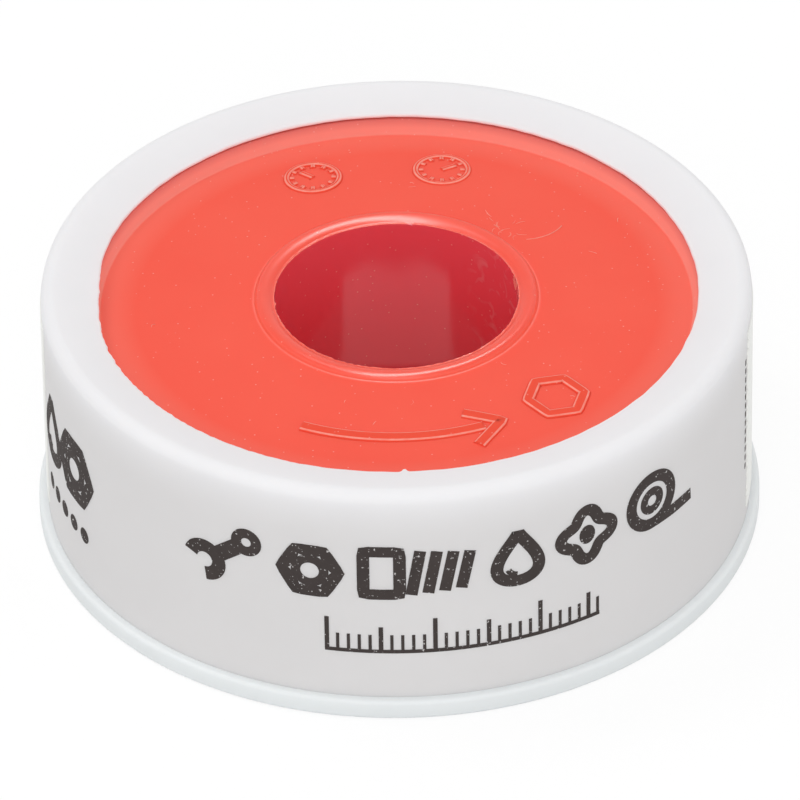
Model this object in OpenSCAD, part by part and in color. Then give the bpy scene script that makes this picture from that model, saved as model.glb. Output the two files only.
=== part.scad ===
// Thread seal tape roll: a white two-piece case, a red spool that turns in it, and the wound tape.
// Millimetres. The axis of the roll is Z and the case stands on z = 0.

/* [Tape] */
// width of the tape
tape_w = 19; // [12:0.5:25]
// length of the tape, in metres
tape_len = 15; // [5:1:25]
// nominal thickness of the tape, as its loose end has
tape_t = 0.2; // [0.1:0.025:0.4]
// thickness of one layer wound tight
tape_wound_t = 0.16; // [0.08:0.01:0.3]
// angle at which the free end of the tape lies
tape_end_angle = -60; // [-180:5:180]

/* [Spool] */
// bore through the hub
bore_d = 22.8; // [16:0.1:30]
// wall of the hub
hub_t = 1.2; // [0.8:0.1:2]
// thickness of the lower flange at its edge
low_flange_t = 0.9; // [0.7:0.1:1.4]
// thickness of the upper flange at its edge
top_flange_t = 1.15; // [0.8:0.05:1.6]
// rise of the upper face from its edge to the bead
top_cone_h = 1.1; // [0.3:0.1:1.6]
// drop of the lower face from its edge to the hub
low_cone_h = 0.45; // [0.1:0.05:0.6]
// height of the dished wall above the face
dish_h = 1.4; // [0.8:0.1:2]
// lean of the dished wall, outward over its height
dish_lean = 0.65; // [0.2:0.05:1.2]
// width of the dished wall along its top
dish_top_w = 1.2; // [0.8:0.1:1.8]
// distance that the dished wall stands back under the lip
dish_tuck = 0.2; // [0.1:0.05:0.4]
// width of the bead round the mouth of the bore
bead_w = 1.85; // [1.5:0.05:2.4]
// width of the bead outside its crest
bead_out_w = 0.77; // [0.5:0.01:1]
// height of the bead's crest above the face
bead_h = 0.5; // [0.3:0.05:0.7]
// drop from the crest to the mouth of the bore
mouth_drop = 0.3; // [0.1:0.05:0.45]

/* [Base ring] */
// height of the rim that shows at the foot of the case
rim_h = 2; // [1.6:0.1:3]
// distance that the rim stands out from the wall
rim_step = 0.85; // [0.4:0.05:2]
// radius on the rim's two outer edges
rim_edge_r = 0.4; // [0.2:0.1:0.7]
// thickness of the ledge that carries the spool
ledge_t = 0.9; // [0.7:0.1:1.4]
// distance that the ledge reaches in under the spool
ledge_w = 2.7; // [1.5:0.1:6]
// height of the spigot above the rim
spigot_h = 2.6; // [1.5:0.1:5]
// wall of the spigot
spigot_t = 0.9; // [0.7:0.1:1.3]

/* [Cover] */
// thickness of the wall
wall_t = 1.1; // [0.8:0.1:1.5]
// radius of the top outer edge
top_edge_r = 1.1; // [0.6:0.1:1.8]
// width of the lip, from the outside of the wall to its opening
lip_w = 5; // [4.6:0.1:9]
// thickness of the lip at its inner edge
lip_edge_t = 0.45; // [0.3:0.05:0.8]
// thickness of the lip where it leaves the wall
lip_root_t = 1.2; // [0.9:0.1:1.6]
// fall of the lip from its crest to its inner edge
lip_fall = 0.9; // [0.5:0.1:1.4]

/* [Clearances] */
// between the first layer of tape and the hub
core_gap = 0.05; // [0.02:0.01:0.1]
// between the last layer of tape and the edges of the flanges
edge_gap = 0.3; // [0.2:0.05:4]
// between the side of the tape and the upper flange
side_gap = 0.25; // [0.1:0.05:0.5]
// between the edges of the flanges and the spigot
run_gap = 0.3; // [0.25:0.05:0.6]
// between the spigot and the cover, a push fit by hand
plug_gap = 0.15; // [0.1:0.05:0.3]
// between the top of the dished wall and the lip
lip_gap = 0.25; // [0.2:0.05:0.5]

/* [Hidden] */
$fn = 96;
// points on each rounded edge of a profile, and on the outer turn of the tape
arc_n = 6;
turn_n = 144;
// broken edges of mouldings and the lead-in of the push fit
edge_r = 0.2;
lead_in = 0.4;
// radii, from the bore outward: the case is sized by the length of tape that it holds
bore_r = bore_d/2;
hub_r = bore_r + hub_t;
core_r = hub_r + core_gap;
tape_r = sqrt(pow(core_r, 2) + 1000*tape_len*tape_wound_t/PI);
flange_r = tape_r + edge_gap;
spigot_in_r = flange_r + run_gap;
spigot_r = spigot_in_r + spigot_t;
wall_in_r = spigot_r + plug_gap;
wall_r = wall_in_r + wall_t;
rim_r = wall_r + rim_step;
ring_open_r = flange_r - ledge_w;
lip_r = wall_r - lip_w;
dish_in_r = lip_r + dish_tuck;
dish_foot_r = dish_in_r - dish_lean;
dish_out_r = dish_in_r + dish_top_w;
bead_r = bore_r + bead_w;
crest_r = bead_r - bead_out_w;
// heights, from the foot upward
low_face_z = ledge_t;
tape_z = low_face_z + low_flange_t;
top_flange_z = tape_z + tape_w + side_gap;
top_face_z = top_flange_z + top_flange_t;
bead_foot_z = top_face_z + top_cone_h;
crest_z = bead_foot_z + bead_h;
mouth_z = crest_z - mouth_drop;
dish_z = top_face_z + dish_h;
lip_under_z = dish_z + lip_gap;
lip_edge_z = lip_under_z + lip_edge_t;
case_h = lip_edge_z + lip_fall;
echo(case_d = 2*rim_r, case_h = case_h, tape_d = 2*tape_r);

// points on an arc about c from angle a to angle b
function arc(c, r, a, b) = [for (i = [0:arc_n]) let (t = a + (b - a)*i/arc_n) c + r*[cos(t), sin(t)]];
// angle of the upper tangent to a circle of radius r about c, drawn to a point e on its left
function tangent_angle(c, r, e) = atan2(e[1] - c[1], e[0] - c[0]) - acos(r/norm(e - c));

// radius of the arc that leaves a crest level and falls by h over a width w
function crown(w, h) = (pow(w, 2) + pow(h, 2))/(2*h);
// the same list of points without its first
function tail(v) = [for (i = [1:len(v) - 1]) v[i]];

// a point on the last layer of tape, a share s of the way round from where it starts to its free end
function layer(s) = let (t = tape_end_angle + 360*s) (tape_r - tape_t*(1 - s))*[cos(t), sin(t)];

// rim, ledge and spigot in one section: the rim shows, the ledge carries the spool
module base_ring() {
    foot = arc([rim_r - rim_edge_r, rim_edge_r], rim_edge_r, -90, 0);
    shoulder = arc([rim_r - rim_edge_r, rim_h - rim_edge_r], rim_edge_r, 0, 90);
    spigot_top = rim_h + spigot_h;
    spigot = [[spigot_r, rim_h], [spigot_r, spigot_top - lead_in], [spigot_r - lead_in, spigot_top]];
    seat = [[spigot_in_r, spigot_top], [spigot_in_r, ledge_t]];
    mouth = [[ring_open_r, ledge_t], [ring_open_r, 0]];
    color([0.87, 0.89, 0.90])
    rotate_extrude()
    polygon(concat(foot, shoulder, spigot, seat, mouth));
}

// wall and lip in one section: the top edge is round and the lip falls towards its opening
module cover() {
    edge_c = [wall_r - top_edge_r, case_h - top_edge_r];
    nose_r = lip_edge_t/2;
    nose_c = [lip_r + nose_r, lip_under_z + nose_r];
    fall_a = tangent_angle(edge_c, top_edge_r, nose_c + [0, nose_r]);
    top_edge = arc(edge_c, top_edge_r, 0, fall_a);
    nose = arc(nose_c, nose_r, 90, 270);
    root_r = top_edge_r/2;
    root = arc([wall_in_r - root_r, case_h - lip_root_t - root_r], root_r, 90, 0);
    foot = [[wall_in_r, rim_h + lead_in], [wall_in_r + lead_in/2, rim_h], [wall_r, rim_h]];
    color([0.90, 0.89, 0.90])
    rotate_extrude()
    polygon(concat(top_edge, nose, root, foot));
}

// hub, two flanges that thicken towards it, the dished wall and the bead at the bore's mouth
module spool() {
    bead_in_w = crest_r - bore_r - edge_r;
    out_r = crown(bead_out_w, bead_h);
    in_r = crown(bead_in_w, mouth_drop);
    low_mouth = arc([bore_r + edge_r, low_face_z - low_cone_h + edge_r], edge_r, 180, 270);
    low_edge = arc([flange_r - edge_r, low_face_z + edge_r], edge_r, -90, 0);
    reel = [[flange_r, tape_z], [hub_r, tape_z], [hub_r, top_flange_z], [flange_r, top_flange_z]];
    top_rim = arc([flange_r - edge_r, top_face_z - edge_r], edge_r, 0, 90);
    dish_out = arc([dish_out_r - edge_r, dish_z - edge_r], edge_r, 0, 90);
    dish_in = arc([dish_in_r + edge_r, dish_z - edge_r], edge_r, 90, 180);
    dish = concat([[dish_out_r, top_face_z]], dish_out, dish_in, [[dish_foot_r, top_face_z]]);
    bead_out = arc([crest_r, crest_z - out_r], out_r, 90 - asin(bead_out_w/out_r), 90);
    bead_in = arc([crest_r, crest_z - in_r], in_r, 90, 90 + asin(bead_in_w/in_r));
    bead = concat(bead_out, tail(bead_in));
    top_mouth = tail(arc([bore_r + edge_r, mouth_z - edge_r], edge_r, 90, 180));
    low_cone = [[bead_r, low_face_z - low_cone_h], [ring_open_r - run_gap, low_face_z]];
    color([0.93, 0.25, 0.18])
    rotate_extrude()
    polygon(concat(low_mouth, low_cone, low_edge, reel, top_rim, dish, bead, top_mouth));
}

// plain core with the last turn wound over it: the outline climbs one layer and steps down at the free end
module tape_roll() {
    turn = [for (i = [0:turn_n]) layer(i/turn_n)];
    color([0.95, 0.95, 0.94])
    translate([0, 0, tape_z])
    linear_extrude(height = tape_w)
    difference() {
        polygon(turn);
        circle(r = core_r);
    }
}

base_ring();
cover();
spool();
tape_roll();
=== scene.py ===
# %% [markdown]
# # Thread seal tape roll
# A roll of plumber's tape: a red spool in a white case, seen from above and in front.
# The CAD model fixes every size and every moving body, and this script dresses it.
# Each cell makes one thing, says how, and prints what it made.

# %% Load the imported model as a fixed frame
import math

import bpy
import numpy as np
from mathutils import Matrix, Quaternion, Vector


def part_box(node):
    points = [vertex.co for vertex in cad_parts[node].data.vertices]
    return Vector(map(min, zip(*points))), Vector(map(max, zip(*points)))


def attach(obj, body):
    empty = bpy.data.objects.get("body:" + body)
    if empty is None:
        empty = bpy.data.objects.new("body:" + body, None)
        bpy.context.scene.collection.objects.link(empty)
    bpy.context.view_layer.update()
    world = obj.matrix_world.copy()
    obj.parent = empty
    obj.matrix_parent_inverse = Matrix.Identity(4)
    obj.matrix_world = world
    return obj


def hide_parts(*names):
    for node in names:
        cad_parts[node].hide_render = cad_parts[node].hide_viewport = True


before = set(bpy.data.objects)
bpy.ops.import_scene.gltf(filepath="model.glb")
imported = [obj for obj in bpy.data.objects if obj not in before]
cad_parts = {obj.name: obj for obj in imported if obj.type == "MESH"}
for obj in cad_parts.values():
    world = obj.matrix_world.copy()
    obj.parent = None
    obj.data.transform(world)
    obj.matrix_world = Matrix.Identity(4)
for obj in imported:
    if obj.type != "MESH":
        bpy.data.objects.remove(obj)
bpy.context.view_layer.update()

# %% [markdown]
# ## Sizes
# Everything here is worked out in millimetres, because that is how a moulding is drawn, and turned to
# metres only when a mesh is made. The CAD boxes give the outer sizes. The sizes inside a section, such as
# the lip and the bead, are repeated from the CAD source, which this script can't read.

# %% Sizes from the CAD boxes
MM = 0.001


def turned_size(node):
    """Largest radius, lowest height and highest height of a turned node, from its CAD box, in mm."""
    low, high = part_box(node)
    return high.x/MM, low.z/MM, high.z/MM


rim_r, _, spigot_top = turned_size("base_ring")
wall_r, rim_top, case_h = turned_size("cover")
flange_r, hub_foot, bead_top = turned_size("spool")
_, tape_low, tape_high = turned_size("tape_roll")
print(f"case {2*rim_r:.1f} mm across and {case_h:.1f} mm high, wall radius {wall_r:.2f}")

# %% Sizes inside the sections
# case: the wall, how far in from its outside the two sides of the spigot are, the lip and the ledge
WALL_T, TO_SPIGOT, TO_SEAT, LIP_W, LEDGE_W = 1.1, 1.25, 2.15, 5.0, 2.7
wall_in_r = wall_r - WALL_T
spigot_r = wall_r - TO_SPIGOT
spigot_in_r = wall_r - TO_SEAT
lip_r = wall_r - LIP_W
ring_open_r = flange_r - LEDGE_W
lip_under, lip_edge, top_edge_r = 23.85, 24.3, 1.1
# spool: radii from the bore outward, heights from the foot upward, and the dished wall under the lip
bore_r, hub_r, bead_r = 11.4, 12.6, 13.25
low_face, top_flange, top_face, bead_foot, mouth_z, dish_top = 0.9, 21.05, 22.2, 23.3, 23.5, 23.6
DISH_TUCK, DISH_LEAN, DISH_TOP_W = 0.2, 0.65, 1.2
dish_in_r = lip_r + DISH_TUCK
dish_foot_r = dish_in_r - DISH_LEAN
dish_out_r = dish_in_r + DISH_TOP_W
# clearances: round the turning spool, inside the first layer of tape and outside its last
RUN_GAP, CORE_GAP, EDGE_GAP = 0.3, 0.05, 0.3
core_r = hub_r + CORE_GAP
tape_r = flange_r - EDGE_GAP
print(f"lip radius {lip_r:.2f}, dish radius {dish_foot_r:.2f}, tape radius {tape_r:.2f}")

# %% [markdown]
# ## Camera
# The photograph was taken from 37 degrees above the bench with a long lens, so the two rims look like
# almost the same ellipse. Fitting the ellipses of the lip, the bore and the foot gave the distance and the
# lens. The picture also leans by almost a degree, which is a turn of the camera about its own axis.

# %% Camera of the photograph
CAMERA_AT, AIM_AT, LEAN = (0.0, -811.7, 617.6), (0.188, 5.49, 7.22), -0.878
camera_data = bpy.data.cameras.new("photo_camera")
camera_data.sensor_width = 36.0
camera_data.lens = 485.46
camera = bpy.data.objects.new("photo_camera", camera_data)
bpy.context.scene.collection.objects.link(camera)
camera.location = Vector(CAMERA_AT)*MM
aim = Vector(AIM_AT)*MM - camera.location
lean = Quaternion((0, 0, 1), math.radians(LEAN))
camera.rotation_mode = "QUATERNION"
camera.rotation_quaternion = aim.to_track_quat("-Z", "Y") @ lean
bpy.context.scene.camera = camera
print(f"camera {aim.length:.3f} m from its aim")

# %% [markdown]
# ## From a grid of points to a mesh
# A moulding of revolution is a closed outline (radius and height) carried round an axis. On a grid, one
# parameter runs round the axis and the other along the outline, so both wrap, and no seam or pole is open.
# A lathe modifier would do it too, but with arrays the radius can also change with the angle, for a burr.

# %% Grid to mesh


def grid_faces(n, m, wrap_n=True, wrap_m=True):
    """Quads of an n by m grid of points: each joins a point to its next in both directions.
    A direction wraps, so that its last point joins its first, if asked."""
    i = np.arange(n if wrap_n else n - 1)[:, None]
    j = np.arange(m if wrap_m else m - 1)[None, :]
    i_next, j_next = (i + 1) % n, (j + 1) % m
    return np.stack([i*m + j, i_next*m + j, i_next*m + j_next, i*m + j_next], -1).reshape(-1, 4)


def piece_from(name, points, faces, smooth=True):
    """An object at the origin whose mesh has these points, given in mm, and these faces."""
    mesh = bpy.data.meshes.new(name)
    mesh.from_pydata((np.asarray(points).reshape(-1, 3)*MM).tolist(), [], [list(f) for f in faces])
    mesh.polygons.foreach_set("use_smooth", np.full(len(mesh.polygons), smooth))
    mesh.update()
    piece = bpy.data.objects.new(name, mesh)
    bpy.context.scene.collection.objects.link(piece)
    print(f"{name}: {len(mesh.vertices)} points, {len(mesh.polygons)} faces")
    return piece


def turned(name, r, z):
    """A turned solid: x = r cos a and y = r sin a, where r and z are grids of angle a by place on
    the outline."""
    a = np.linspace(0, 2*np.pi, len(r), endpoint=False)[:, None]
    return piece_from(name, np.stack([r*np.cos(a), r*np.sin(a), z], -1), grid_faces(*r.shape))


# %% [markdown]
# ## Case: base ring
# The foot of the case is a separate ring of a slightly cooler white. Its rim stands out from the wall by
# less than a millimetre, with soft edges. Inside, a ledge carries the spool and a spigot plugs the cover.
# It is the plainest turned piece, so it shows the method: nine corners, rounded, carried round the axis.
# A Bevel modifier could round them, but one width would have to do for all of them.

# %% Rounded corners


def rounded(corners, radii, steps=6, hold=0.04):
    """An open outline with its corners rounded: each gives way to the arc that touches both its sides.
    A point just before and after each arc keeps smooth shading on the arc and off the flat beside it."""
    p = np.asarray(corners, float)
    back, ahead = p[:-2] - p[1:-1], p[2:] - p[1:-1]
    back, ahead = (v/np.linalg.norm(v, axis=1)[:, None] for v in (back, ahead))
    half = 0.5*np.arccos(np.clip((back*ahead).sum(1), -1, 1))
    radius = np.asarray(radii, float)
    middle = (back + ahead)/np.linalg.norm(back + ahead, axis=1)[:, None]
    centre = p[1:-1] + middle*(radius/np.sin(half))[:, None]
    reach = (radius/np.tan(half))[:, None]
    first, last = p[1:-1] + back*reach, p[1:-1] + ahead*reach
    turn = (np.pi - 2*half)[:, None]
    t = np.linspace(0, 1, steps + 1)[None, :]
    share = np.stack([np.sin((1 - t)*turn), np.sin(t*turn)], -1)/np.sin(turn)[..., None]
    to_first, to_last = (first - centre)[:, None], (last - centre)[:, None]
    arcs = centre[:, None] + share[..., :1]*to_first + share[..., 1:]*to_last
    held = np.concatenate([(first + hold*back)[:, None], arcs, (last + hold*ahead)[:, None]], 1)
    return np.concatenate([p[:1], held.reshape(-1, 2), p[-1:]])


# %% Base ring
TURNS, RING_START, LEAD_IN = 900, 0.45, 0.4
angle = np.linspace(0, 2*np.pi, TURNS, endpoint=False)
ring_corners = [
    (ring_open_r, RING_START), (ring_open_r, 0), (rim_r, 0), (rim_r, rim_top), (spigot_r, rim_top),
    (spigot_r, spigot_top - LEAD_IN), (spigot_r - LEAD_IN, spigot_top), (spigot_in_r, spigot_top),
    (spigot_in_r, low_face), (ring_open_r, low_face), (ring_open_r, RING_START)]
ring_radii = [0.12, 0.4, 0.4, 0.08, 0.15, 0.15, 0.1, 0.1, 0.12]
ring_outline = rounded(ring_corners, ring_radii)[:-1]
ring_r = np.tile(ring_outline[:, 0], (TURNS, 1))
ring_z = np.tile(ring_outline[:, 1], (TURNS, 1))
case_ring = turned("case_ring", ring_r, ring_z)
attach(case_ring, "base_ring")
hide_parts("base_ring")

# %% [markdown]
# ## Case: cover
# The cover is a thin tube with a round top edge and a lip that falls inward by almost a millimetre. On the
# real one the lip's edge was trimmed by hand: it bulges a little on the left, is ragged at the front left and
# has a small burr. Those are changes of radius with the angle, so they go into the grid's radius. They could
# be sculpted, but as sums of waves and humps each has a place and a size that can be read.

# %% Arcs and divided outlines


def polar(radius, degrees):
    """A point at a radius and an angle about the origin."""
    return radius*np.array([math.cos(math.radians(degrees)), math.sin(math.radians(degrees))])


def arc(centre, radius, start, end, steps):
    """Points on a circle about centre, from one angle to another, in degrees."""
    t = np.radians(np.linspace(start, end, steps + 1))
    return np.asarray(centre) + radius*np.stack([np.cos(t), np.sin(t)], -1)


def divided(outline, step):
    """The same open outline with more points, so that none is further than a step from the next."""
    outline = np.asarray(outline, float)
    length = np.concatenate([[0], np.cumsum(np.linalg.norm(np.diff(outline, axis=0), axis=1))])
    gaps = np.diff(length)
    counts = np.ceil(gaps/step).astype(int)
    more = [length[i] + gaps[i]*np.arange(1, n)/n for i, n in enumerate(counts) if n > 1]
    s = np.unique(np.concatenate([length, *more]))
    return np.stack([np.interp(s, length, outline[:, 0]), np.interp(s, length, outline[:, 1])], -1)


# %% Section of the cover
LIP_ROOT_T, SHARP = 1.2, 0.01
edge_c = np.array([wall_r - top_edge_r, case_h - top_edge_r])
nose_r = 0.5*(lip_edge - lip_under)
nose_c = np.array([lip_r + nose_r, lip_under + nose_r])
to_nose = nose_c + [0, nose_r] - edge_c
# the lip's top leaves the round edge along the tangent that meets the top of its nose
fall = math.degrees(math.atan2(to_nose[1], to_nose[0]) - math.acos(top_edge_r/np.linalg.norm(to_nose)))
lip_top = [edge_c + polar(top_edge_r, fall) + to_nose*SHARP, nose_c + [0.02, nose_r + 0.005]]
root_r, root_z = 0.5*top_edge_r, case_h - LIP_ROOT_T
wall_side = [(wall_r, rim_top), (wall_r, rim_top + SHARP), (wall_r, edge_c[1] - 0.05)]
foot_side = [(wall_in_r, rim_top + LEAD_IN), (wall_in_r + LEAD_IN/2, rim_top), (wall_r - SHARP, rim_top)]
cover_outline = np.concatenate([
    divided(wall_side, 1.2), arc(edge_c, top_edge_r, 0, fall, 16), divided(lip_top, 0.6)[1:],
    arc(nose_c, nose_r, 90, 270, 10), arc((wall_in_r - root_r, root_z - root_r), root_r, 90, 0, 6),
    np.array(foot_side)])
print(f"cover: the lip's top leaves the edge at {fall:.1f} degrees, {len(cover_outline)} points")

# %% Uneven edges


def ripple(angle, orders, seed):
    """A smooth uneven wave round a circle: a sum of whole waves with random phase, about 1 high."""
    rng = np.random.default_rng(seed)
    k = np.arange(orders[0], orders[1])
    phase, size = rng.uniform(0, 2*np.pi, len(k)), rng.normal(0, 1, len(k))
    return (size*np.cos(angle[:, None]*k + phase)).sum(1)/np.sqrt(len(k)/2)


def bump_at(angle, centre, width):
    """A bell-shaped hump of height 1 round a circle, centred at an angle, with its width in degrees."""
    away = (np.degrees(angle) - centre + 180) % 360 - 180
    return np.exp(-0.5*(away/width)**2)


# %% Cover
LIP_REACH = 1.2
lip_share = np.clip((lip_r + LIP_REACH - cover_outline[:, 0])/LIP_REACH, 0, 1)**2
bulge = -0.45*bump_at(angle, 180, 8)
frayed = 0.03*bump_at(angle, 212, 26)*ripple(angle, (40, 260), 1)
burr = 0.5*bump_at(angle, 271, 0.35)
waver = 0.02*ripple(angle, (3, 90), 2)
lip_change = bulge - frayed - burr - waver
cover_r = cover_outline[:, 0] + lip_change[:, None]*lip_share
cover_z = np.tile(cover_outline[:, 1], (TURNS, 1))
case_cover = turned("case_cover", cover_r, cover_z)
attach(case_cover, "cover")
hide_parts("cover")

# %% [markdown]
# ## Spool
# One red moulding: a hub with an open bore, two flanges, a dished wall just inside the lip and a bead round
# the mouth of the bore. The bead is two arcs that share a level crest, with a small hollow fillet where it
# meets the face. Its crest is a tenth of a millimetre higher and further out than the CAD's, because there
# its band of light falls where the photograph has it.

# %% Section of the bead
foot_fillet, mouth_w = 0.15, 0.2
crest_r, crest_z = 12.6, bead_top + 0.1


def crown(width, height):
    """Radius of the arc that leaves a crest level and falls by a height over a width."""
    return (width**2 + height**2)/(2*height)


out_r = crown(bead_r - crest_r, crest_z - bead_foot)
in_r = crown(crest_r - bore_r - mouth_w, crest_z - mouth_z)
out_c, in_c = (crest_r, crest_z - out_r), (crest_r, crest_z - in_r)
fillet_rise = bead_foot + foot_fillet - out_c[1]
fillet_reach = math.sqrt((out_r + foot_fillet)**2 - fillet_rise**2)
fillet_c = (crest_r + fillet_reach, bead_foot + foot_fillet)
touch = math.degrees(math.atan2(fillet_rise, fillet_reach))
in_half = math.degrees(math.asin((crest_r - bore_r - mouth_w)/in_r))
mouth = np.array([bore_r, mouth_z]) + [(0.13, 0.01), (0.07, 0.03), (0.02, 0.02), (0, -0.03)]
FILLET_START = 269
bead = np.concatenate([
    arc(fillet_c, foot_fillet, FILLET_START, 180 + touch, 6), arc(out_c, out_r, touch, 90, 12)[1:],
    arc(in_c, in_r, 90, 90 + in_half, 10)[1:], mouth])
print(f"bead: crest radius {crest_r:.2f}, {crest_z - bead_foot:.2f} mm above the face")

# %% [markdown]
# ### Spool in one outline
# The outline starts low in the bore and goes round the lower flange, the hub, the upper flange, the dish
# and the bead, and down the bore again. The mould left thin flash at the mouth, which stands up a little
# and isn't quite round, and the face isn't quite flat. Both are waves that count in one zone only.

# %% Section of the spool
BORE_START, BORE_END = 2.0, 2.05
face_end = bead[0] + [0.05, -0.003]
spool_corners = [
    (bore_r, BORE_START), (bore_r, hub_foot), (bead_r, hub_foot), (ring_open_r - RUN_GAP, low_face),
    (flange_r, low_face), (flange_r, tape_low), (hub_r, tape_low), (hub_r, top_flange),
    (flange_r, top_flange), (flange_r, top_face), (dish_out_r, top_face), (dish_out_r, dish_top),
    (dish_in_r, dish_top), (dish_foot_r, top_face), face_end]
spool_radii = [0.2, 1.0, 1.0, 0.2, 0.12, 0.3, 0.3, 0.12, 0.2, 0.1, 0.2, 0.2, 0.22]
bore_side = [(bore_r, mouth_z - depth) for depth in (0.1, 0.15, 0.3, 1.0)] + [(bore_r, BORE_END)]
outside = divided(rounded(spool_corners, spool_radii), 3.0)
spool_outline = np.concatenate([outside, bead, divided(bore_side, 2.0)])
print(f"spool: {len(spool_outline)} points in its outline")

# %% Spool
SPOOL_TURNS, FLASH_H, FACE_MID, FACE_HALF = 480, 0.05, 20.4, 7
spool_angle = np.linspace(0, 2*np.pi, SPOOL_TURNS, endpoint=False)
section_r, section_z = spool_outline.T
at_mouth = np.clip(1 - (section_r - bore_r)/mouth_w, 0, 1)*(section_z > mouth_z - FLASH_H)
on_face = (section_z > top_face - SHARP)*np.clip(1 - np.abs(section_r - FACE_MID)/FACE_HALF, 0, 1)
fine_flash = 0.02*ripple(spool_angle, (20, 160), 3)
slow_flash = 0.014*ripple(spool_angle, (4, 20), 4)
flash = fine_flash + slow_flash - 0.15*bump_at(spool_angle, 185, 1)
stand = 0.02*ripple(spool_angle, (10, 120), 7) - 0.1*bump_at(spool_angle, 83, 1.2)
warp = 0.03*ripple(spool_angle, (1, 6), 5)
spool_r = section_r + flash[:, None]*at_mouth
spool_z = section_z + warp[:, None]*on_face + stand[:, None]*at_mouth
red_spool = turned("red_spool", spool_r, spool_z)
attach(red_spool, "spool")
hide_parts("spool")

# %% [markdown]
# ## Tape
# The tape is out of sight until the cover comes off. It is a soft white film, drawn thin as it is wound, so
# its outside is one turn of a spiral with faint waves, and its free end lies on the turn below with a step.
# Every layer could be wound, but only the last one can be seen, so the roll is one solid.

# %% Wound tape
TAPE_END, TAPE_T, TAPE_START, SKIN = math.radians(-60), 0.2, 10, 2
END_LIFT, END_SHARE = 0.25, 0.012
tape_corners = [(core_r, TAPE_START), (core_r, tape_low), (tape_r, tape_low), (tape_r, tape_high),
                (core_r, tape_high), (core_r, TAPE_START)]
tape_outline = divided(rounded(tape_corners, [0.05, 0.12, 0.12, 0.05])[:-1], 1.3)
tape_share = ((angle - TAPE_END)/(2*np.pi)) % 1.0
tape_outer = np.clip((tape_outline[:, 0] - tape_r + SKIN)/SKIN, 0, 1)
slow_waves = 0.02*np.sin(tape_outline[:, 1]*0.9 + 2.0*np.sin(angle[:, None]*3))
fine_waves = 0.015*ripple(angle, (5, 40), 6)[:, None]
lifted = END_LIFT*np.exp(-((1 - tape_share)/END_SHARE)**2)
tape_change = slow_waves + fine_waves - TAPE_T*(1 - tape_share)[:, None] + lifted[:, None]
tape_grid_r = tape_outline[:, 0] + tape_outer*tape_change
tape_grid_z = np.tile(tape_outline[:, 1], (TURNS, 1))
wound_tape = turned("wound_tape", tape_grid_r, tape_grid_z)
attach(wound_tape, "spool")
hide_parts("tape_roll")

# %% [markdown]
# ## Strokes on a surface
# The wall is printed and the red face has raised marks. Both are drawn flat, as strokes with a width, and
# then laid on the surface: a small section is carried along each path, and a function puts each point of
# the drawing, with its height, on the wall or on the face. A bitmap or a decal would do the same less
# sharply.

# %% Strokes


def stroked(name, strokes, section, place, smooth, highlit_rows=()):
    """Strokes on a surface: along each flat path runs a section whose points are (side, extra, height).
    A point lies side times half the width, plus extra, to the left of the path.
    An open path ends in a flat cap. Faces that start at the listed section points take the second
    material: on the raised marks, a painted highlight."""
    side, extra, height = np.array(section, float).T
    points, faces, rows, first, m = [], [], [], 0, len(section)
    for path, closed, width in strokes:
        ahead = np.roll(path, -1, 0) - np.roll(path, 1, 0) if closed else np.gradient(path, axis=0)
        left = np.stack([-ahead[:, 1], ahead[:, 0]], -1)/np.linalg.norm(ahead, axis=1)[:, None]
        off = 0.5*np.broadcast_to(width, len(path))[:, None]*side + extra
        flat = path[:, None] + left[:, None]*off[..., None]
        heights = np.broadcast_to(height, off.shape)
        points.append(place(flat[..., 0], flat[..., 1], heights).reshape(-1, 3))
        quads = (grid_faces(len(path), m, wrap_n=closed) + first).tolist()
        faces += quads
        rows += (np.arange(len(quads)) % m).tolist()
        past = first + len(path)*m
        if not closed:
            faces += [list(range(first, first + m)), list(range(past - 1, past - m - 1, -1))]
            rows += [-1, -1]
        first = past
    piece = piece_from(name, np.concatenate(points), faces, smooth)
    piece.data.polygons.foreach_set("material_index", np.isin(rows, highlit_rows).astype(np.int32))
    return piece


# %% Paths


def line(corners, step=0.5):
    """An open path through corners, with points a step apart."""
    return divided(corners, step)


def loop(corners, step=0.5):
    """A closed path through corners, with points a step apart."""
    return divided(np.concatenate([corners, corners[:1]]), step)[:-1]


def circle(centre, radius, steps=48):
    """A closed round path."""
    return arc(centre, radius, 0, 360, steps)[:-1]


def drop(centre, width, height, steps=64):
    """A closed drop: its height follows a cosine, and its width a sine that is pinched towards the tip."""
    t = np.linspace(0, 2*np.pi, steps, endpoint=False) + np.pi/steps
    half = -0.64*width*np.sin(t)*np.sin(t/2)**1.5
    return np.asarray(centre) + np.stack([half, 0.5*height*np.cos(t)], -1)


def turned_by(path, centre, degrees):
    """The same path turned about a centre."""
    c, s = math.cos(math.radians(degrees)), math.sin(math.radians(degrees))
    return (np.asarray(path) - centre) @ np.array([[c, s], [-s, c]]) + centre


def dot(centre, radius, steps=12):
    """A filled spot: a short path along its middle, as wide at each place as the circle is there."""
    t = np.linspace(-0.98, 0.98, steps)
    return np.asarray(centre) + radius*np.stack([t, 0*t], -1), False, 2*radius*np.sqrt(1 - t**2)


# %% [markdown]
# ### Print on the wall
# The case is printed in one dark ink with plain plumbing signs: a spanner, a nut, a pipe with its thread, a
# drop, a hand wheel and a roll of tape in a row, and a millimetre scale below. Each sign is drawn about
# 6 mm high, from its lower left corner, as a list of (path, closed, width). Drawing them once, as functions,
# lets a sign be used again at another size.

# %% Signs
SIGN_MID = 2.9


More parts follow.
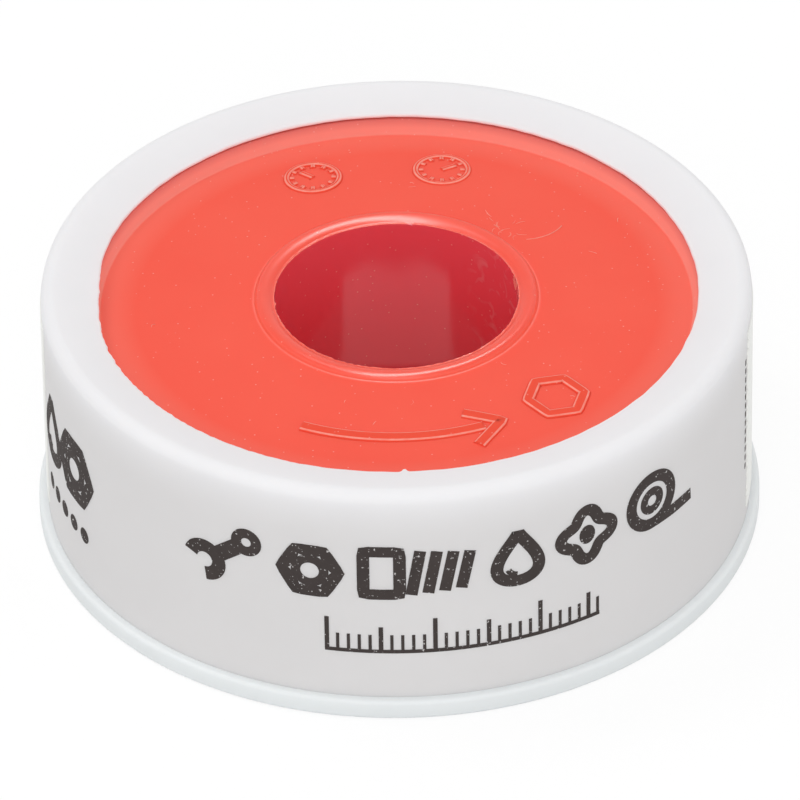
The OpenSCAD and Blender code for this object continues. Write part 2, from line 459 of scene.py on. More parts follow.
def spanner(x, y):
    """An open jaw, a handle and a ring at its end, turned up to the right."""
    c = np.array([x + 3.6, y + SIGN_MID])
    jaw = (arc(c + [-2.35, 0], 1.45, -125, 125, 28), False, 1.1)
    handle = (line([c + [-0.95, 0], c + [2.0, 0]]), False, 1.3)
    ring = (circle(c + [2.95, 0], 0.95, 36), True, 0.8)
    return [(turned_by(path, c, 38), closed, width) for path, closed, width in (jaw, handle, ring)]


def nut(x, y, size=3.0):
    """A hexagon round a hole."""
    c = np.array([x + 0.95*size, y + 0.95*size])
    hexagon = loop(arc(c, size - 0.5, 0, 360, 6)[:-1])
    return [(hexagon, True, 0.95), (circle(c, 0.42*size, 36), True, 0.7)]


def pipe(x, y):
    """A pipe's end: a plain length and a thread that tapers, drawn as slanting bars."""
    plain = np.array([x, y]) + [(0.45, 0.6), (3.6, 0.6), (3.6, 5.2), (0.45, 5.2)]
    strokes = [(loop(plain), True, 0.9)]
    for k in range(4):
        middle, taper = x + 5.0 + 1.45*k, 0.13*k
        bar = line([(middle - 0.4, y + 0.55 + taper), (middle + 0.4, y + 5.25 - taper)])
        strokes.append((bar, False, 0.85))
    return strokes


# %% More signs


def water(x, y):
    """A drop of water with a glint."""
    c = np.array([x + 2.2, y + 2.95])
    return [(drop(c, 4.3, 5.2), True, 0.95), (arc(c + [0, -0.95], 0.95, 200, 265, 10), False, 0.45)]


def hand_wheel(x, y):
    """A tap's hand wheel with four lobes and its nut."""
    c, t = np.array([x + 2.9, y + SIGN_MID]), np.linspace(0, 2*np.pi, 96, endpoint=False)
    r = 2.2 + 0.42*np.cos(4*t)
    return [(c + r[:, None]*np.stack([np.cos(t), np.sin(t)], -1), True, 0.95), dot(c, 0.8)]


def roll(x, y):
    """A roll of tape on its core, with its end drawn out along the bottom."""
    c = np.array([x + 2.9, y + SIGN_MID])
    drawn = line([c + [0, -2.45], c + [2.6, -2.45], c + [5.3, -2.3]])
    return [(circle(c, 2.45), True, 0.95), (circle(c, 0.95, 36), True, 0.7), (drawn, False, 0.95)]


# %% [markdown]
# ### Row, scale and side signs
# Pad printing lays the whole print on the wall in one go, so all of it is one piece. The row climbs a little
# to the right, as a pad set slightly askew leaves it. On the left are a larger drop and a nut over five
# dots, and on the right a line of dark dashes runs up beside the label's end.

# %% Row of signs
ROW_U, ROW_V, ROW_CLIMB = -20.6, 12.95, 1.5/53
ROW_WEIGHT, ROW_SCALE, ROW_GAP = 1.22, 1.06, 1.75


def bolder(strokes, weight, scale, centre):
    """The same strokes with each width times a weight, and all of it enlarged about a centre."""
    return [((path - centre)*scale + centre, closed, width*scale*weight) for path, closed, width in strokes]


row_signs = ((spanner, 7.6), (nut, 5.9), (pipe, 10.6), (water, 4.6), (hand_wheel, 6.0), (roll, 8.4))
main_row, u = [], ROW_U
for sign, wide in row_signs:
    v = ROW_V + ROW_CLIMB*(u - ROW_U)
    main_row += bolder(sign(u, v), ROW_WEIGHT, ROW_SCALE, np.array([u + wide/2, v + SIGN_MID]))
    u += wide + ROW_GAP
print(f"row of signs: {len(row_signs)} signs, {len(main_row)} strokes")

# %% Scale and side signs
RULER_U, RULER_V, RULER_LEN, OVERHANG = -6.9, 7.3, 26, 0.2
base = line([(RULER_U - OVERHANG, RULER_V), (RULER_U + (RULER_LEN + OVERHANG), RULER_V)])
ruler = [(base, False, 0.4)]
for k in range(RULER_LEN + 1):
    tall = 3.7 if k % 10 == 0 else 2.8 if k % 5 == 0 else 1.9
    tick = line([(RULER_U + k, RULER_V), (RULER_U + k, RULER_V + tall)])
    ruler.append((tick, False, 0.42 if k % 5 == 0 else 0.3))
DROP_U, NUT_U, SIDE_V = -47.0, -41.5, 10.0
side_signs = bolder(water(DROP_U, 10.7), 1.2, 1.24, (DROP_U, SIDE_V))
side_signs += bolder(nut(NUT_U, 10.4), 1.15, 1.3, (NUT_U, SIDE_V))
side_signs += [dot((-45.2 + 2.3*k, 7.7), 0.8) for k in range(5)]
# dark dashes in the ink, beside the label's end
DASHES_U, DASH = 44.75, 0.55
label_end_dashes = [(line([(DASHES_U, v), (DASHES_U, v + DASH)], 0.3), False, 0.36) for v in np.arange(8.2, 20.6, 1.0)]
print(f"scale {RULER_LEN} mm long, {len(side_signs)} strokes on the left, {len(label_end_dashes)} dashes")

# %% Print
INK_T = 0.03


def on_wall(u, v, h):
    """A point of the print: u mm round the wall from its front, v mm above the bench, h mm off the wall."""
    a = -0.5*np.pi + u/wall_r
    return np.stack([(wall_r + h)*np.cos(a), (wall_r + h)*np.sin(a), v], -1)


ink_section = [(-1, 0, -INK_T), (-1, 0, INK_T), (1, 0, INK_T), (1, 0, -INK_T)]
wall_print = stroked("wall_print", main_row + ruler + side_signs + label_end_dashes, ink_section, on_wall, False)
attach(wall_print, "cover")

# %% [markdown]
# ### Label round the back
# The two ends of a plain white paper label show at the sides of the wall: it runs round the back half, from
# just below the top edge to just above the rim. It is one bent sheet, a tenth of a millimetre thick, on a
# grid of angle by height, and its right end is cut a little ragged. Solidify could give it its thickness,
# but with arrays the ragged end can also stand off the wall.

# %% Sheet of the label
LABEL_T, LABEL_SINK, SHEET_N, SHEET_M = 0.1, 0.01, 361, 61
label_low, label_high, label_start, label_end = 3.3, 23.3, -11.4, 187.6
RAG, RAG_REACH, CURL = 0.22, 0.5, 0.06
label_a = np.radians(np.linspace(label_start, label_end, SHEET_N))
sheet_z = np.linspace(label_low, label_high, SHEET_M)
ragged = np.random.default_rng(8).normal(0, RAG, SHEET_M)
near_start = np.exp(-np.degrees(label_a - label_a[0])/RAG_REACH)
sheet_a = label_a[:, None] + np.radians(ragged)[None, :]*near_start[:, None]
lift = CURL*np.abs(ragged)[None, :]*near_start[:, None]
outer_r, inner_r = wall_r + LABEL_T + lift, np.full_like(lift, wall_r - LABEL_SINK)
print(f"label: {wall_r*(label_a[-1] - label_a[0]):.1f} mm long, {label_high - label_low:.1f} mm high")

# %% Label
band_a = np.concatenate([sheet_a, sheet_a[:, ::-1]], 1)
band_r = np.concatenate([outer_r, inner_r], 1)
band_z = np.broadcast_to(np.concatenate([sheet_z, sheet_z[::-1]]), band_a.shape)
band = np.stack([band_r*np.cos(band_a), band_r*np.sin(band_a), band_z], -1)
band_n, band_m = band_a.shape
end_caps = [[j, j + 1, band_m - 2 - j, band_m - 1 - j] for j in range(SHEET_M - 1)]
far = (band_n - 1)*band_m
end_caps += [[far + q for q in cap[::-1]] for cap in end_caps]
label_faces = grid_faces(band_n, band_m, wrap_n=False).tolist() + end_caps
paper_label = piece_from("paper_label", band, label_faces, False)
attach(paper_label, "cover")

# %% [markdown]
# ### Raised marks on the red face
# The mould left marks that stand a fifth of a millimetre proud: at the front an arrow that shows which way
# the roll turns as the tape comes off, and a hexagon, and at the back two small date dials with twelve
# ticks. Their section has sloping sides and a flat top, and the face's cone gives each point its height.
# The rounded edges of their tops take a pale colour: a painted highlight.

# %% Marks


def on_face_cone(x, y, h):
    """A point of a mark: the face falls in a straight line from the foot of the bead to that of the dish."""
    r = np.hypot(x, y)
    z = top_face + (bead_foot - top_face)*(dish_foot_r - r)/(dish_foot_r - fillet_c[0])
    return np.stack([x, y, z + h], -1)


MARK_R, MARK_W, HEAD_W, HEAD_FOOT, HEAD_TIP = 21.0, 0.95, 2.3, 288.5, 297
DIAL_AT, DIAL_R, HAND = 21.6, 2.5, 1.5
shaft = arc((0, 0), MARK_R, 245, 292, 90)
head = [polar(MARK_R + HEAD_W, HEAD_FOOT), polar(MARK_R, HEAD_TIP), polar(MARK_R - HEAD_W, HEAD_FOOT)]
hexagon = loop(arc(polar(MARK_R, 314), 2.7, 14, 374, 6)[:-1], 0.3)
marks = [(shaft, False, MARK_W), (line(head, 0.3), False, MARK_W), (hexagon, True, 0.85)]
for dial_angle, hand_angle in ((78, 30), (111, 140)):
    c = polar(DIAL_AT, dial_angle)
    marks += [(circle(c, DIAL_R), True, 0.3), (line([c, c + polar(HAND, hand_angle)], 0.3), False, 0.35)]
    marks += [(line([c + polar(1.75, 30*k), c + polar(2.2, 30*k)], 0.2), False, 0.22) for k in range(12)]
mark_section = [(-1, -0.3, -0.1), (-1, -0.08, 0.12), (-1, 0, 0.18), (-1, 0.08, 0.2),
                (1, -0.08, 0.2), (1, 0, 0.18), (1, 0.08, 0.12), (1, 0.3, -0.1)]
# the rounded edges of each top, rows 1, 2, 4 and 5, take the pale material: a painted highlight
raised_marks = stroked("raised_marks", marks, mark_section, on_face_cone, True, highlit_rows=(1, 2, 4, 5))
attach(raised_marks, "spool")

# %% [markdown]
# ### Scuffs
# Handling has left pale scratches where something was pushed against the bead, nicks on the face and a
# little torn plastic at the right of the bore. They are strokes too, almost flat: the scratches are under a
# tenth of a millimetre wide. Their places are drawn at random from a fixed seed, in patches.

# %% Scratches and nicks on the face
# each patch: its angle, its radius, how far it spreads, its count and its longest scratch
PATCHES = ((46, 15.0, 0.9, 15, 1.4), (30, 20.5, 3.0, 4, 2.0), (150, 21.0, 5.0, 3, 0.8),
           (255, 17.0, 3.0, 3, 0.8), (320, 17.5, 3.0, 4, 1.0), (85, 17.0, 2.0, 4, 0.8))
SCRATCH_N, BEAD_CLEAR, DISH_CLEAR = 7, 0.2, 2
along = np.linspace(0, 1, SCRATCH_N)[:, None]
bow = np.sin(np.linspace(0, np.pi, SCRATCH_N))[:, None]
thinned = np.sin(np.linspace(0.3, np.pi - 0.3, SCRATCH_N))
rng = np.random.default_rng(4)
scuffs = []
for degrees, radius, spread, count, longest in PATCHES:
    for k in range(count):
        start = polar(radius, degrees) + rng.normal(0, spread, 2)
        way = polar(rng.uniform(0.25, longest), rng.normal(degrees + 20, 45))
        path = start + along*way + bow*rng.normal(0, 0.12, 2)
        if bead_r + BEAD_CLEAR < np.linalg.norm(start) < dish_foot_r - DISH_CLEAR:
            scuffs.append((path, False, rng.uniform(0.03, 0.075)*thinned))
long_scratch = arc((11.5, 13.6), 4.6, -80, -25, 14)
nick = line([polar(19.2, 143.5), polar(19.0, 141.8)], 0.2)
scuffs += [(long_scratch, False, 0.08), (nick, False, 0.3)]
flat_section = [(-1, 0, -0.03), (-1, 0, 0.012), (1, 0, 0.012), (1, 0, -0.03)]
face_scuffs = stroked("face_scuffs", scuffs, flat_section, on_face_cone, False)

# %% Torn plastic in the bore


def on_bore(u, v, h):
    """A point on the wall of the bore: u mm round it, clockwise seen from above, v mm above the bench
    and h mm inward."""
    a = -u/bore_r
    return np.stack([(bore_r - h)*np.cos(a), (bore_r - h)*np.sin(a), v], -1)


smears = []
for k in range(16):
    u = -bore_r*math.radians(rng.uniform(7, 16))
    v = rng.uniform(22.3, 23.3)
    end = (u + rng.normal(0, 0.1), v + rng.normal(0, 0.25))
    smears.append((line([(u, v), end], 0.2), False, rng.uniform(0.3, 0.6)))
bore_smears = stroked("bore_smears", smears, flat_section, on_bore, False)
for piece in (face_scuffs, bore_smears):
    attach(piece, "spool")

# %% [markdown]
# ## Materials
# Each finish starts from the real material. Colours are written as a screen shows them, in hex, and one
# function turns them to the linear values that a shader works in. Another adds a node with its settings.

# %% Colour and node helpers


def linear(hex_colour):
    """Linear RGBA of an sRGB hex colour: below 0.04045 a straight line, above it a power of 2.4."""
    c = np.array([int(hex_colour[i:i + 2], 16) for i in (1, 3, 5)])/255
    c = np.where(c <= 0.04045, c/12.92, ((c + 0.055)/1.055)**2.4)
    return (*c.tolist(), 1.0)


def add(tree, kind, inputs=None, **settings):
    """Adds a node: settings are its own properties, and each input is a value or another node's output."""
    n = tree.nodes.new("ShaderNode" + kind)
    for key, value in settings.items():
        setattr(n, key, value)
    for key, value in (inputs or {}).items():
        if isinstance(value, bpy.types.NodeSocket):
            tree.links.new(value, n.inputs[key])
        else:
            n.inputs[key].default_value = value
    return n


def per_mm(size):
    """Scale of a texture whose features are this many mm across, on Object coordinates, in metres."""
    return 1.0/(size*MM)


def new_finish(name):
    """An empty material with its node tree, its output and a coordinate node."""
    material = bpy.data.materials.new(name)
    material.use_nodes = True
    tree = material.node_tree
    tree.nodes.clear()
    return material, tree, add(tree, "OutputMaterial"), add(tree, "TexCoord").outputs["Object"]


# %% [markdown]
# ### White polypropylene
# Moulded polypropylene is milky: light goes a few millimetres in and comes out again. Where the wall is
# thin some of it is lost inside the case, so the wall is greyer, and towards the thick top edge it is a
# full white; this is painted into the colour by height, as painted shade low down and a painted glow
# near the top. Its skin is satin, with a faint grain and a slightly cloudy white.

# %% White polypropylene


def white_polypropylene(name, shaded_white, glowing_white, shaded_z, glowing_z, roughness):
    """Satin milky plastic with a fine grain, its colour painted by height: a greyer white low down, as
    painted shade, turning to a whiter one higher up, as a painted glow."""
    material, tree, out, place = new_finish(name)
    height = add(tree, "SeparateXYZ", {0: place}).outputs["Z"]
    # painted light: greyer white low down as painted shade, whiter towards the top as a painted glow
    glow_climb = add(tree, "MapRange", {"Value": height, "From Min": shaded_z*MM, "From Max": glowing_z*MM})
    share = add(tree, "Math", {0: glow_climb.outputs[0], 1: 2.0}, operation="POWER")
    depth = add(tree, "Mix", {0: share.outputs[0], 6: linear(shaded_white), 7: linear(glowing_white)}, data_type="RGBA")
    cloud = add(tree, "TexNoise", {"Vector": place, "Scale": per_mm(9), "Detail": 3.0})
    colour = add(tree, "Mix", {0: 0.05, 6: depth.outputs[2], 7: cloud.outputs[0]},
                 data_type="RGBA", blend_type="MULTIPLY")
    grain = add(tree, "TexNoise", {"Vector": place, "Scale": per_mm(0.5), "Detail": 2.0})
    bump = add(tree, "Bump", {"Height": grain.outputs[0], "Strength": 0.12, "Distance": 0.02*MM})
    shade = add(tree, "BsdfPrincipled", {
        "Base Color": colour.outputs[2], "Roughness": roughness, "IOR": 1.49, "Normal": bump.outputs[0],
        "Subsurface Weight": 0.25, "Subsurface Radius": (1.0, 0.95, 0.9), "Subsurface Scale": 1.6*MM})
    tree.links.new(shade.outputs[0], out.inputs[0])
    return material


# both whites are painted light by height: the cover's glows towards its top edge, the ring's towards its top
cover_white = white_polypropylene(
    "polypropylene_white_satin", "#E5E3E3", "#F7F6F8", shaded_z=19.0, glowing_z=24.4, roughness=0.6)
ring_white = white_polypropylene(
    "polypropylene_cool_white", "#EFF3F4", "#F3F7F8", shaded_z=0.4, glowing_z=2.0, roughness=0.5)
case_cover.data.materials.append(cover_white)
case_ring.data.materials.append(ring_white)
print("case:", cover_white.name, ring_white.name)

# %% [markdown]
# ### Printing ink
# Dark warm grey ink, laid thin by a rubber pad, so it is matt and has pinholes where it missed the plastic.

# %% Printing ink
ink, tree, out, place = new_finish("pad_printing_ink")
miss = add(tree, "TexNoise", {"Vector": place, "Scale": per_mm(0.3), "Detail": 2.0})
pinhole = add(tree, "MapRange", {"Value": miss.outputs[0], "From Min": 0.66, "From Max": 0.71})
cloud = add(tree, "TexNoise", {"Vector": place, "Scale": per_mm(2.5), "Detail": 3.0})
shades = add(tree, "Mix", {0: cloud.outputs[0], 6: linear("#352E2C"), 7: linear("#463E3C")},
             data_type="RGBA")
colour = add(tree, "Mix", {0: pinhole.outputs[0], 6: shades.outputs[2], 7: linear("#C9C6C5")},
             data_type="RGBA")
shade = add(tree, "BsdfPrincipled", {"Base Color": colour.outputs[2], "Roughness": 0.8, "IOR": 1.4})
tree.links.new(shade.outputs[0], out.inputs[0])
wall_print.data.materials.append(ink)
print("print:", ink.name)

# %% [markdown]
# ### Label paper
# Coated white paper is whiter than the milky wall and has a faint fibre in its grain.

# %% Label paper
paper, tree, out, place = new_finish("coated_label_paper")
fibre = add(tree, "TexNoise", {"Vector": place, "Scale": per_mm(0.8), "Detail": 4.0})
colour = add(tree, "Mix", {0: fibre.outputs[0], 6: linear("#F3F4F0"), 7: linear("#FAFBF7")},
             data_type="RGBA")
bump = add(tree, "Bump", {"Height": fibre.outputs[0], "Strength": 0.1, "Distance": 0.02*MM})
shade = add(tree, "BsdfPrincipled", {
    "Base Color": colour.outputs[2], "Roughness": 0.4, "IOR": 1.5, "Normal": bump.outputs[0]})
tree.links.new(shade.outputs[0], out.inputs[0])
paper_label.data.materials.append(paper)
print("label:", paper.name)

# %% [markdown]
# ### Red polypropylene
# The spool is pigmented right through. Its face has the mould's fine satin grain and a little dust, the bead
# is smoother, and the bore is polished, looks deeper and is smeared at the right. The dished wall is painted
# lighter as painted light, for the white case shining through it, and darker towards its top as painted shade
# under the lip; the face beside the dish and the side of the bead are painted lighter against the shade in
# their corners, and the tip of the flash at the mouth is lighter, partly whitened plastic and partly a
# painted highlight. A mask per zone would need painting, so distance from the axis tells the zones apart, and
# height the parts of a zone.

# %% Red polypropylene: zones
red_finish, tree, out, place = new_finish("polypropylene_red_moulded")
flat_place = add(tree, "VectorMath", {0: place, 1: (1, 1, 0)}, operation="MULTIPLY")
from_axis = add(tree, "VectorMath", {0: flat_place.outputs[0]}, operation="LENGTH").outputs["Value"]
x, _, height = add(tree, "SeparateXYZ", {0: place}).outputs
near_bore = add(tree, "MapRange", {
    "Value": from_axis, "From Min": (bore_r + 0.13)*MM, "From Max": (bore_r + 0.05)*MM})
below_mouth = add(tree, "MapRange", {
    "Value": height, "From Min": mouth_z*MM, "From Max": (mouth_z - 0.06)*MM})
in_bead = add(tree, "MapRange", {"Value": from_axis, "From Min": (bead_r + 0.3)*MM, "From Max": bead_r*MM})
in_dish = add(tree, "MapRange", {
    "Value": from_axis, "From Min": (dish_foot_r - 0.12)*MM, "From Max": (dish_foot_r + 0.05)*MM})
# painted light: the face is lifted towards the dish, against the shade of the corner under the lip
painted_lift_near_dish = add(tree, "MapRange", {
    "Value": from_axis, "From Min": (dish_foot_r - 3.4)*MM, "From Max": (dish_foot_r - 0.1)*MM})
# painted shade: the dish darkens towards its top, under the lip
painted_shade_up_dish = add(tree, "MapRange", {
    "Value": height, "From Min": (dish_top - 0.75)*MM, "From Max": dish_top*MM})
# painted light: the side of the bead is lifted against the shade at its foot
from_side = add(tree, "Math", {0: from_axis, 1: bead_r*MM}, operation="SUBTRACT")
beside = add(tree, "Math", {0: from_side.outputs[0]}, operation="ABSOLUTE")
painted_lift_on_bead_side = add(tree, "MapRange", {"Value": beside.outputs[0], "From Min": 0.22*MM, "From Max": 0.08*MM})
print(f"zones of the red: bore to {bore_r:.2f}, bead to {bead_r:.2f}, dish from {dish_foot_r:.2f} mm")

# %% Red polypropylene: face, dish and side of the bead
cloud = add(tree, "TexNoise", {"Vector": place, "Scale": per_mm(8), "Detail": 4.0})
face = add(tree, "Mix", {0: cloud.outputs[0], 6: linear("#FB4A31"), 7: linear("#FE543B")},
           data_type="RGBA")
face_painted_lift = add(tree, "Mix", {0: painted_lift_near_dish.outputs[0], 6: face.outputs[2], 7: linear("#FF6C57")},
            data_type="RGBA")
# painted light: the dish is lighter, for the white case's light through its wall, and darker at its top as
# painted shade
dish = add(tree, "Mix", {0: painted_shade_up_dish.outputs[0], 6: linear("#FD8E7F"), 7: linear("#E67A72")},
           data_type="RGBA")
outer = add(tree, "Mix", {0: in_dish.outputs[0], 6: face_painted_lift.outputs[2], 7: dish.outputs[2]},
            data_type="RGBA")
bead_side = add(tree, "Mix", {0: painted_lift_on_bead_side.outputs[0], 6: outer.outputs[2], 7: linear("#FF6650")},
                data_type="RGBA")
print("face, dish and bead coloured:", len(tree.nodes), "nodes so far")

# %% Red polypropylene: bore, flash and dust
blot = add(tree, "TexNoise", {"Vector": place, "Scale": per_mm(1.9), "Detail": 2.0, "Distortion": 1.2})
smear = add(tree, "MapRange", {
    "Value": blot.outputs[0], "From Min": 0.54, "From Max": 0.66, "To Max": 0.42})
at_right = add(tree, "MapRange", {"Value": x, "From Min": 6.5*MM, "From Max": 8.5*MM})
smeared = add(tree, "Math", {0: smear.outputs[0], 1: at_right.outputs[0]}, operation="MULTIPLY")
bore_red = add(tree, "Mix", {0: smeared.outputs[0], 6: linear("#F04E5A"), 7: linear("#F28C90")},
               data_type="RGBA")
# the flash's tip at the mouth is lighter: partly whitened plastic, partly a painted highlight along the
# mouth's edge
edge = add(tree, "Mix", {0: below_mouth.outputs[0], 6: linear("#FF7464"), 7: bore_red.outputs[2]},
           data_type="RGBA")
red = add(tree, "Mix", {0: near_bore.outputs[0], 6: bead_side.outputs[2], 7: edge.outputs[2]},
          data_type="RGBA")
# real dust is finer: the specks are as coarse as they need to be to show
specks = add(tree, "TexVoronoi", {"Vector": place, "Scale": per_mm(0.95)})
dust = add(tree, "MapRange", {
    "Value": specks.outputs["Distance"], "From Min": 0.1, "From Max": 0.05, "To Max": 0.42})
colour = add(tree, "Mix", {0: dust.outputs[0], 6: red.outputs[2], 7: linear("#FFC4B8")}, data_type="RGBA")
print("bore coloured and dust laid:", len(tree.nodes), "nodes so far")

# %% Red polypropylene: skin
FACE_ROUGH, BEAD_ROUGH, BORE_ROUGH = 0.9, 0.3, 0.12
satin = add(tree, "MapRange", {"Value": in_bead.outputs[0], "To Min": FACE_ROUGH, "To Max": BEAD_ROUGH})
gloss = add(tree, "MapRange", {
    "Value": near_bore.outputs[0], "To Min": satin.outputs[0], "To Max": BORE_ROUGH})
grain = add(tree, "TexNoise", {"Vector": place, "Scale": per_mm(0.45), "Detail": 3.0})
bump = add(tree, "Bump", {"Height": grain.outputs[0], "Strength": 0.12, "Distance": 0.02*MM})
shade = add(tree, "BsdfPrincipled", {
    "Base Color": colour.outputs[2], "Roughness": gloss.outputs[0], "IOR": 1.49, "Normal": bump.outputs[0],
    "Subsurface Weight": 0.2, "Subsurface Radius": (1.0, 0.3, 0.25), "Subsurface Scale": 1.5*MM})
tree.links.new(shade.outputs[0], out.inputs[0])
red_spool.data.materials.append(red_finish)
raised_marks.data.materials.append(red_finish)
print("spool:", red_finish.name)

# %% [markdown]
# ### Whitened polypropylene and painted highlight
# Bent, torn or rubbed, this plastic turns pale, because tiny cracks in it scatter light. That shows on
# scratches and on torn plastic. On the rounded edges of the raised marks the same pale colour is a
# painted highlight.

# %% Whitened polypropylene and painted highlight
whitening_and_highlight, tree, out, place = new_finish("polypropylene_red_whitening_and_highlight")
crazed = add(tree, "TexNoise", {"Vector": place, "Scale": per_mm(0.7), "Detail": 3.0})
# pale: real whitening on scratches and torn plastic, a painted highlight on the marks' edges
colour = add(tree, "Mix", {0: crazed.outputs[0], 6: linear("#F8624C"), 7: linear("#FFB09F")},
             data_type="RGBA")
shade = add(tree, "BsdfPrincipled", {"Base Color": colour.outputs[2], "Roughness": 0.4, "IOR": 1.49})
tree.links.new(shade.outputs[0], out.inputs[0])
for piece in (raised_marks, face_scuffs, bore_smears):
    piece.data.materials.append(whitening_and_highlight)
print("marks and scuffs:", whitening_and_highlight.name)

# %% [markdown]
# ### Unsintered PTFE film
# The tape is a soft, slightly waxy white with streaks along its length from being drawn, so the streaks are
# narrow in height and long round the roll.

# %% PTFE film
film, tree, out, place = new_finish("ptfe_film_unsintered")
drawn_out = add(tree, "VectorMath", {0: place, 1: (0.06, 0.06, 1)}, operation="MULTIPLY")
streak = add(tree, "TexNoise", {"Vector": drawn_out.outputs[0], "Scale": per_mm(0.6), "Detail": 4.0})
colour = add(tree, "Mix", {0: streak.outputs[0], 6: linear("#E9E9E6"), 7: linear("#F6F6F4")},
             data_type="RGBA")
bump = add(tree, "Bump", {"Height": streak.outputs[0], "Strength": 0.3, "Distance": 0.05*MM})
shade = add(tree, "BsdfPrincipled", {
    "Base Color": colour.outputs[2], "Roughness": 0.5, "IOR": 1.35, "Sheen Weight": 0.15,
    "Normal": bump.outputs[0]})
tree.links.new(shade.outputs[0], out.inputs[0])
wound_tape.data.materials.append(film)
print("tape:", film.name)

# %% [markdown]
# ## Stage
# The roll stands on a pale bench, seen as almost plain white with a soft shadow. Camera and mirror rays get
# the bench's own glow, and other rays a plain matt white, so that its brightness in the picture and the
# light that it throws up can be set apart. Inside the bore mirror rays find it dark. It is clear from below.

# %% Floor
FLOOR_HALF, FLOOR_Z = 3000, -0.05
floor_corners = [(-FLOOR_HALF, -FLOOR_HALF, FLOOR_Z), (FLOOR_HALF, -FLOOR_HALF, FLOOR_Z),
                 (FLOOR_HALF, FLOOR_HALF, FLOOR_Z), (-FLOOR_HALF, FLOOR_HALF, FLOOR_Z)]
floor = piece_from("floor", floor_corners, [(0, 1, 2, 3)], False)
bench, tree, out, place = new_finish("bench_matt_white")
rays = add(tree, "LightPath")
seen = add(tree, "Math", {0: rays.outputs["Is Camera Ray"], 1: rays.outputs["Is Glossy Ray"]},
           operation="MAXIMUM")
matt = add(tree, "BsdfDiffuse", {"Color": linear("#EEEEEE")})
shadowed = add(tree, "BsdfDiffuse", {"Color": (0.2, 0.2, 0.2, 1)})
from_axis = add(tree, "VectorMath", {0: place}, operation="LENGTH")
inside = add(tree, "MapRange", {"Value": from_axis.outputs["Value"], "From Min": 14*MM, "From Max": 13*MM})
dim = add(tree, "Math", {0: inside.outputs[0], 1: rays.outputs["Is Glossy Ray"]}, operation="MULTIPLY")
strength = add(tree, "MapRange", {"Value": dim.outputs[0], "To Min": 0.82, "To Max": 0.1})
glow = add(tree, "Emission", {"Color": (1, 1, 1, 1), "Strength": strength.outputs[0]})
white = add(tree, "AddShader", {0: shadowed.outputs[0], 1: glow.outputs[0]})
bench_mix = add(tree, "MixShader", {0: seen.outputs[0], 1: matt.outputs[0], 2: white.outputs[0]})
from_below = add(tree, "NewGeometry").outputs["Backfacing"]
clear = add(tree, "BsdfTransparent")
one_sided = add(tree, "MixShader", {0: from_below, 1: bench_mix.outputs[0], 2: clear.outputs[0]})
tree.links.new(one_sided.outputs[0], out.inputs[0])
floor.data.materials.append(bench)

# %% [markdown]
# ### Card in the bore
# The polished back of the bore shows a pale upright band, the mirror image of something bright low in front
# of it. A lamp there would light the whole bore, so a small glowing card lies low in the bore and is seen by
# mirror rays only: its glow is a painted reflection. It is the front of a disc with a blunt point towards the
# back, and fades to the front.

# %% Card
CARD_Z, CARD_R, CARD_TIP, CARD_SIDE = 3.2, 11.3, 6.5, (11.06, -2.33)
card_side = math.degrees(math.atan2(CARD_SIDE[1], CARD_SIDE[0]))
card_edge = np.concatenate([[(0, CARD_TIP)], arc((0, 0), CARD_R, 180 - card_side, 360 + card_side, 24)])
card = piece_from("bore_card", np.insert(card_edge, 2, CARD_Z, 1), [list(range(len(card_edge)))], False)
for rays_kept_out in ("visible_camera", "visible_diffuse", "visible_transmission", "visible_shadow"):
    setattr(card, rays_kept_out, False)
glowing_card, tree, out, place = new_finish("glowing_card")
y = add(tree, "SeparateXYZ", {0: place}).outputs["Y"]
fade = add(tree, "MapRange", {"Value": y, "From Min": -CARD_R*MM, "From Max": -8*MM, "To Max": 0.8})
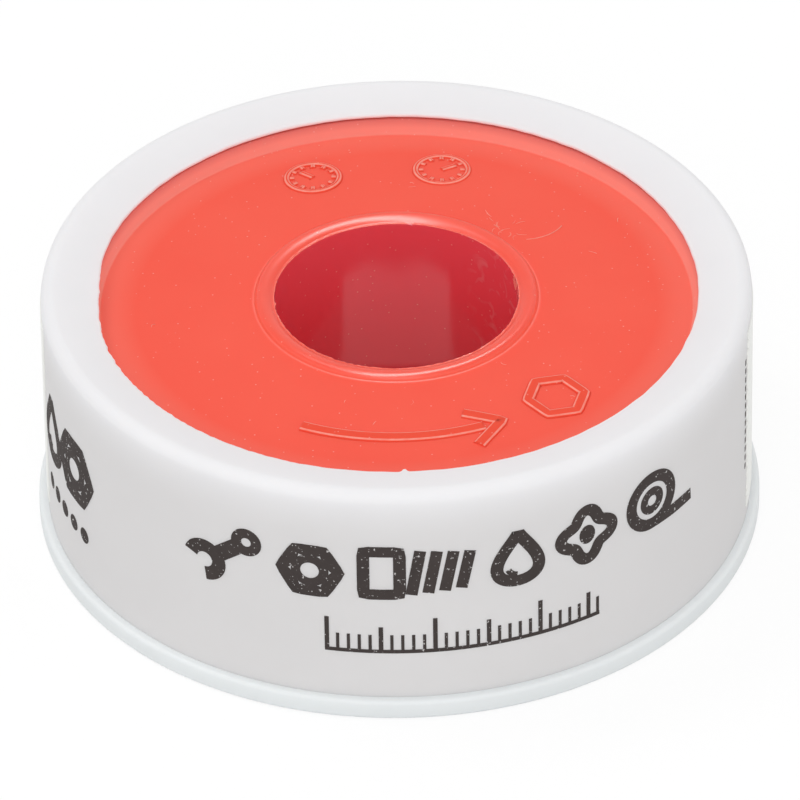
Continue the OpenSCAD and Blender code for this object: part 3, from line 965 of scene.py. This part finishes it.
# the card glows by itself: a painted reflection in the bore
glow = add(tree, "Emission", {"Color": (1, 1, 1, 1), "Strength": fade.outputs[0]})
tree.links.new(glow.outputs[0], out.inputs[0])
card.data.materials.append(glowing_card)

# %% [markdown]
# ## Light
# Even white light comes from all round, with a soft box in front and another on the left. A long box
# overhead is there for its mirror image on the spool only: it draws the band of light on the bead, at the
# front and at the back. Camera and mirror rays see the background as plain white, where 1 is white.

# %% World
WORLD_LIGHT, WORLD_SEEN = 0.76, 1.0
world = bpy.data.worlds.new("studio_white")
bpy.context.scene.world = world
world.use_nodes = True
tree = world.node_tree
tree.nodes.clear()
rays = add(tree, "LightPath")
seen = add(tree, "Math", {0: rays.outputs["Is Camera Ray"], 1: rays.outputs["Is Glossy Ray"]},
           operation="MAXIMUM")
level = add(tree, "MapRange", {"Value": seen.outputs[0], "To Min": WORLD_LIGHT, "To Max": WORLD_SEEN})
sky = add(tree, "Background", {"Color": (1, 1, 1, 1), "Strength": level.outputs[0]})
tree.links.new(sky.outputs[0], add(tree, "OutputWorld").inputs[0])
print("world:", world.name)

# %% Lamps


def soft_box(name, place_mm, width, height, radiance):
    """A rectangular lamp that faces the roll, with this radiance: its power is pi times its area times it."""
    data = bpy.data.lights.new(name, "AREA")
    data.shape, data.size, data.size_y = "RECTANGLE", width*MM, height*MM
    data.energy = math.pi*width*MM*height*MM*radiance
    lamp = bpy.data.objects.new(name, data)
    bpy.context.scene.collection.objects.link(lamp)
    lamp.location = Vector(place_mm)*MM
    lamp.rotation_mode = "QUATERNION"
    lamp.rotation_quaternion = (-Vector(place_mm)).to_track_quat("-Z", "Y")
    print(f"{name}: {data.energy:.2f} W")
    return lamp


soft_box("front_box", (0, -820, 575), width=600, height=600, radiance=1.6)
top_box = soft_box("top_box", (24, 40, 1000), width=350, height=1340, radiance=13.0)
top_box.visible_diffuse = False
glossy_red = bpy.data.collections.new("glossy_red")
glossy_red.objects.link(red_spool)
top_box.light_linking.receiver_collection = glossy_red
soft_box("left_box", (-408, 134, 791), width=300, height=300, radiance=2.6)

# %% [markdown]
# ## View transform
# Colours are shown as they are, with no film look on top.

# %% View transform
bpy.context.scene.view_settings.view_transform = "Standard"
